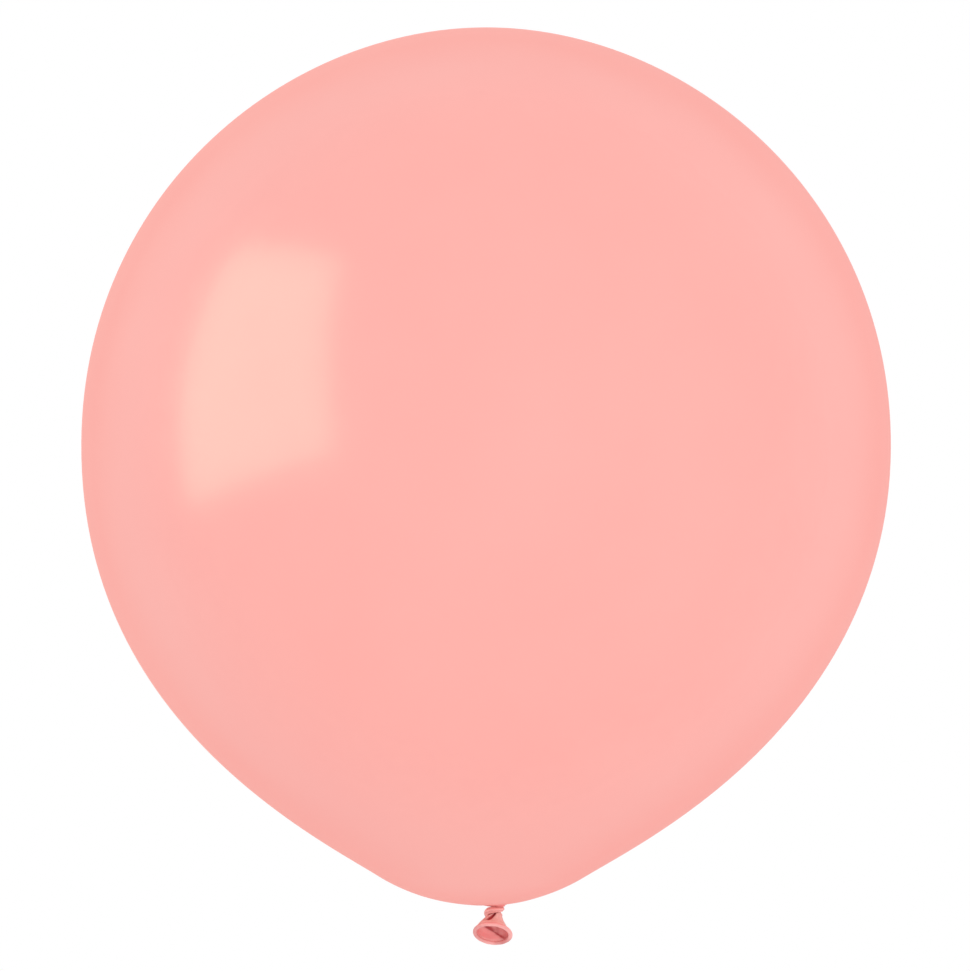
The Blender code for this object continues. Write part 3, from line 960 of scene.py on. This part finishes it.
class BALLOON_OT_tail(bpy.types.Operator):
    """Makes the spread tail below the knot, creased where the knot pinches it"""

    bl_idname = "balloon.tail"
    bl_label = "Tail"

    def execute(self, context):
        tail = context.scene.balloon_tail
        colours = context.scene.balloon_colours
        angles = np.arange(tail.steps) / tail.steps * FULL_TURN
        outer_shares = np.linspace(0.0, 1.0, tail.rows)
        inner_shares = np.linspace(1.0, tail.pinch, tail.rows)
        outer, outer_fold_and_shade = bell_surface(tail, outer_shares, angles, 0.0)
        inner, inner_fold_and_shade = bell_surface(tail, inner_shares, angles, tail.wall)
        # Where the tail is tucked under the strand it lies double, and painted shadow deepens its colour
        # there, but not on the right
        knot = context.scene.balloon_knot
        centres, radii = strand_path(knot.points)
        gap = np.linalg.norm(outer[:, :, None] - centres, axis=3) - radii - knot.swell
        tuck_and_shadow = hump(np.clip(gap.min(axis=2), 0.0, None), tail.tuck_and_shadow)
        tucked_and_shaded = TUCK_SHADOW_TONE * tuck_and_shadow * np.clip(1.0 - np.cos(angles), 0.0, 1.0)
        outer_fold_and_shade = np.maximum(outer_fold_and_shade, tucked_and_shaded)
        # Painted shade: the outside takes on the inside's colour towards the back, away from its lit
        # front
        slack = np.zeros_like(outer_fold_and_shade) + BACK_SHADE_TONE * (1.0 + np.sin(angles)[None])
        # Painted light: the inside is paler on the left and towards the rim, out of the mouth's shade
        side = 1.0 - LEFT_LIGHT_TONE * (1.0 - np.cos(angles)[None])
        rim = ramp(inner_shares, RIM_START, 1.0)[:, None]
        inside = (1.0 - inner_fold_and_shade) * (1.0 - RIM_LIGHT_TONE * rim) * side
        tones = {
            "fold": np.concatenate((outer_fold_and_shade, inner_fold_and_shade)),
            "inner": np.concatenate((slack, inside)),
        }
        piece = ring_mesh("tail_bell", np.concatenate((outer, inner)), tones)
        piece.data.materials.append(slack_latex("slack natural latex", colours, "tail"))
        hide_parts("tail_funnel")
        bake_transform(piece)
        return {"FINISHED"}


def lip_tree(tail, material):
    """Geometry tree: a bead swept round the mouth, uneven, with the groove where its roll ends."""
    turn = (-tail.lean_forward, tail.lean_left, 0.0)
    mouth = Vector((-tail.mouth_side, 0.0, -tail.mouth_depth))
    tree, given, values = new_tree("Rolled lip", {
        "Float": {key: getattr(tail, key) for key in LIP_INPUTS},
        "Vector": {"place": tuple(tail_pivot() + Euler(turn).to_matrix() @ mouth)},
        "Rotation": {"turn": turn},
        "Material": {"material": material},
    })
    ring, section = (
        node(tree, "GeometryNodeCurvePrimitiveCircle", {"Resolution": steps, "Radius": given[radius]})
        for steps, radius in ((LIP_STEPS, "lip_radius"), (BEAD_STEPS, "bead_radius"))
    )
    bead = node(tree, "GeometryNodeCurveToMesh", {"Curve": ring, "Profile Curve": section})
    # The groove follows an angle round the bead's own section, and wanders on its way round the lip
    axes, around, out = round_axis(tree)
    out = node(tree, MATH, (out, given["lip_radius"]), "SUBTRACT")
    groove = node(tree, MATH, (axes[2], out), "ARCTAN2")
    wander = node(tree, NOISE, {"Vector": around, "Scale": 1.3, "Detail": 1.0})
    wander = node(tree, RANGE, {"Value": wander, "To Min": -2.6, "To Max": -1.2})
    groove = node(tree, MATH, (groove, wander), "ADD")
    groove = node(tree, MATH, (groove,), "COSINE")
    for operation, amount in (("MAXIMUM", 0.0), ("POWER", GROOVE_POWER)):
        groove = node(tree, MATH, (groove, amount), operation)
    sunk = groove
    for amount in (given["roll_depth"], -1.0):
        sunk = node(tree, MATH, (sunk, amount), "MULTIPLY")
    normal = node(tree, "GeometryNodeInputNormal").outputs["Normal"]
    sunk = node(tree, VECTOR, {0: normal, "Scale": sunk}, "SCALE")
    rolled = node(tree, "GeometryNodeSetPosition", {"Geometry": bead, "Offset": sunk})
    # Painted shade: the lip's colour is deeper in the groove, on the left and low on the right
    deeper = groove
    for way, least, most in LIP_SHADE_PATCHES:
        towards = node(tree, VECTOR, (around, way), "DOT_PRODUCT")
        lip_shade = node(tree, RANGE, {"Value": towards, "From Min": least, "To Max": most})
        deeper = node(tree, MATH, (deeper, lip_shade), "MAXIMUM")
    stored = {"Geometry": rolled, "Name": "fold", "Value": deeper}
    stored = node(tree, "GeometryNodeStoreNamedAttribute", stored, data_type="FLOAT")
    # The bead runs a little unevenly up and down; noise strays by about a third, so it is tripled
    wave = node(tree, NOISE, {"Vector": around, "Scale": 2.2, "Detail": 1.0})
    for operation, amount in (("SUBTRACT", 0.5), ("MULTIPLY", given["bead_wave"]), ("MULTIPLY", 3.0)):
        wave = node(tree, MATH, (wave, amount), operation)
    wave = node(tree, "ShaderNodeCombineXYZ", {2: wave})
    waved = node(tree, "GeometryNodeSetPosition", {"Geometry": stored, "Offset": wave})
    placed = {"Geometry": waved, "Translation": given["place"], "Rotation": given["turn"]}
    close_tree(tree, node(tree, "GeometryNodeTransform", placed), given["material"])
    return tree, values


class BALLOON_OT_lip(bpy.types.Operator):
    """Makes the bead rolled at the edge of the tail's mouth"""

    bl_idname = "balloon.lip"
    bl_label = "Rolled lip"

    def execute(self, context):
        colours = context.scene.balloon_colours
        piece = new_piece("rolled_bead", bpy.data.meshes.new("rolled_bead"))
        material = slack_latex("rolled natural latex", colours, "lip")
        tree, values = lip_tree(context.scene.balloon_tail, material)
        piece = run_tree(piece, tree, values)
        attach(piece, "tail")
        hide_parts("rolled_lip")
        return {"FINISHED"}


def floor_material(studio):
    """Pale matt floor that fades into the white surround towards its edge, clear from below."""
    material, tree, shader, place = new_material("pale matt floor")
    feed(tree, shader, {"Base Color": (*linear("F7F7F7"), 1.0), "Roughness": 0.9})
    away = node(tree, VECTOR, (place,), "LENGTH")
    start, end = (part * studio.floor_radius for part in FLOOR_FADE)
    fade = node(tree, RANGE, {"Value": away, "From Min": start, "From Max": end}, **SMOOTH)
    below = node(tree, "ShaderNodeNewGeometry").outputs["Backfacing"]
    clear = node(tree, MATH, (fade, below), "MAXIMUM")
    through = node(tree, "ShaderNodeBsdfTransparent")
    mix = node(tree, "ShaderNodeMixShader", (clear, shader, through))
    feed(tree, tree.nodes["Material Output"], {"Surface": mix})
    return material


def add_lamp(name, shape, energy, place, turn):
    """An area lamp that the camera doesn't see."""
    light = bpy.data.lights.new(name, "AREA")
    light.shape = shape
    light.energy = energy
    lamp = new_piece(name, light)
    lamp.location = place
    lamp.rotation_euler = turn.to_euler()
    lamp.visible_camera = False
    return lamp, light


class BALLOON_OT_studio(bpy.types.Operator):
    """Sets the floor, the light and the camera"""

    bl_idname = "balloon.studio"
    bl_label = "Studio"

    def execute(self, context):
        scene = context.scene
        studio = scene.balloon_studio
        scene.view_settings.view_transform = "Standard"
        self.floor(studio)
        self.surround(scene, studio)
        self.fill(studio)
        self.window(scene.balloon_skin, studio)
        self.camera(scene, studio)
        return {"FINISHED"}

    def floor(self, studio):
        turn = np.arange(FLOOR_STEPS) / FLOOR_STEPS * FULL_TURN
        rim = np.column_stack((np.cos(turn), np.sin(turn), np.zeros(FLOOR_STEPS))) * studio.floor_radius
        mesh = bpy.data.meshes.new("studio_floor")
        mesh.from_pydata(rim.tolist(), [], [list(range(FLOOR_STEPS))])
        mesh.materials.append(floor_material(studio))
        floor = new_piece("studio_floor", mesh)
        floor.location.z = -studio.floor_depth

    def surround(self, scene, studio):
        world = bpy.data.worlds.new("white surround")
        world.use_nodes = True
        tree = world.node_tree
        path = node(tree, "ShaderNodeLightPath").outputs
        seen = path["Is Camera Ray"]
        for kind in ("Is Glossy Ray", "Is Transmission Ray"):
            seen = node(tree, MATH, (seen, path[kind]), "MAXIMUM")
        strength = node(tree, RANGE, {"Value": seen, "To Min": studio.daylight, "To Max": 1.0})
        feed(tree, tree.nodes["Background"], {"Color": (1.0, 1.0, 1.0, 1.0), "Strength": strength})
        scene.world = world

    def fill(self, studio):
        turn = FILL_PLACE.to_track_quat("Z", "Y")
        lamp, light = add_lamp("front fill", "DISK", studio.fill, FILL_PLACE, turn)
        light.size = FILL_SIZE
        lamp.visible_glossy = False

    def window(self, skin, studio):
        # It shows on the skin to the left of the middle, and its top leans away
        shown = SOFTBOX_SHOWN * skin.radius + Vector((-skin.offset, 0.0, skin.widest))
        side = studio.softbox_turn
        up = studio.softbox_rise
        away = Vector((-math.sin(side) * math.cos(up), -math.cos(side) * math.cos(up), math.sin(up)))
        spin = Quaternion((0.0, 0.0, 1.0), studio.softbox_spin)
        lean = Quaternion((1.0, 0.0, 0.0), studio.softbox_lean)
        turn = away.to_track_quat("Z", "Y") @ spin @ lean
        place = shown + away * studio.softbox_away
        lamp, light = add_lamp("window softbox", "RECTANGLE", studio.softbox, place, turn)
        light.size = studio.softbox_width
        light.size_y = studio.softbox_height
        light.color = studio.softbox_colour
        lamp.visible_diffuse = False

    def camera(self, scene, studio):
        data = bpy.data.cameras.new("camera")
        data.sensor_width = SENSOR
        data.lens = SENSOR * studio.camera_distance / studio.view_height
        data.clip_end = CAMERA_SIGHT
        camera = new_piece("camera", data)
        camera.location = (studio.camera_side, -studio.camera_distance, studio.camera_height)
        camera.rotation_euler = (math.radians(90.0), studio.roll, 0.0)
        scene.camera = camera


class BALLOON_PT_panel(bpy.types.Panel):
    """Lists the balloon's pieces and their sizes"""

    bl_idname = "BALLOON_PT_panel"
    bl_label = "Latex balloon"
    bl_space_type = "VIEW_3D"
    bl_region_type = "UI"
    bl_category = "Balloon"

    def draw(self, context):
        layout = self.layout
        for operator in OPERATORS:
            layout.operator(operator.bl_idname)
        for name in SETTINGS:
            group = getattr(context.scene, name)
            column = layout.column()
            column.label(text=group.bl_rna.description)
            for key in group.bl_rna.properties.keys():
                if key not in {"rna_type", "name"}:
                    column.prop(group, key)


OPERATORS = (
    BALLOON_OT_skin,
    BALLOON_OT_knot,
    BALLOON_OT_tail,
    BALLOON_OT_lip,
    BALLOON_OT_studio,
)
SETTINGS = {
    "balloon_skin": SkinSizes,
    "balloon_knot": KnotSizes,
    "balloon_tail": TailSizes,
    "balloon_colours": LatexColours,
    "balloon_studio": StudioSettings,
}


def register():
    for name, group in SETTINGS.items():
        bpy.utils.register_class(group)
        setattr(bpy.types.Scene, name, bpy.props.PointerProperty(type=group))
    for operator in OPERATORS:
        bpy.utils.register_class(operator)
    bpy.utils.register_class(BALLOON_PT_panel)


def unregister():
    bpy.utils.unregister_class(BALLOON_PT_panel)
    for operator in reversed(OPERATORS):
        bpy.utils.unregister_class(operator)
    for name, group in SETTINGS.items():
        delattr(bpy.types.Scene, name)
        bpy.utils.unregister_class(group)


def main():
    register()
    bpy.ops.balloon.skin()
    bpy.ops.balloon.knot()
    bpy.ops.balloon.tail()
    bpy.ops.balloon.lip()
    bpy.ops.balloon.studio()


if __name__ == "__main__":
    main()
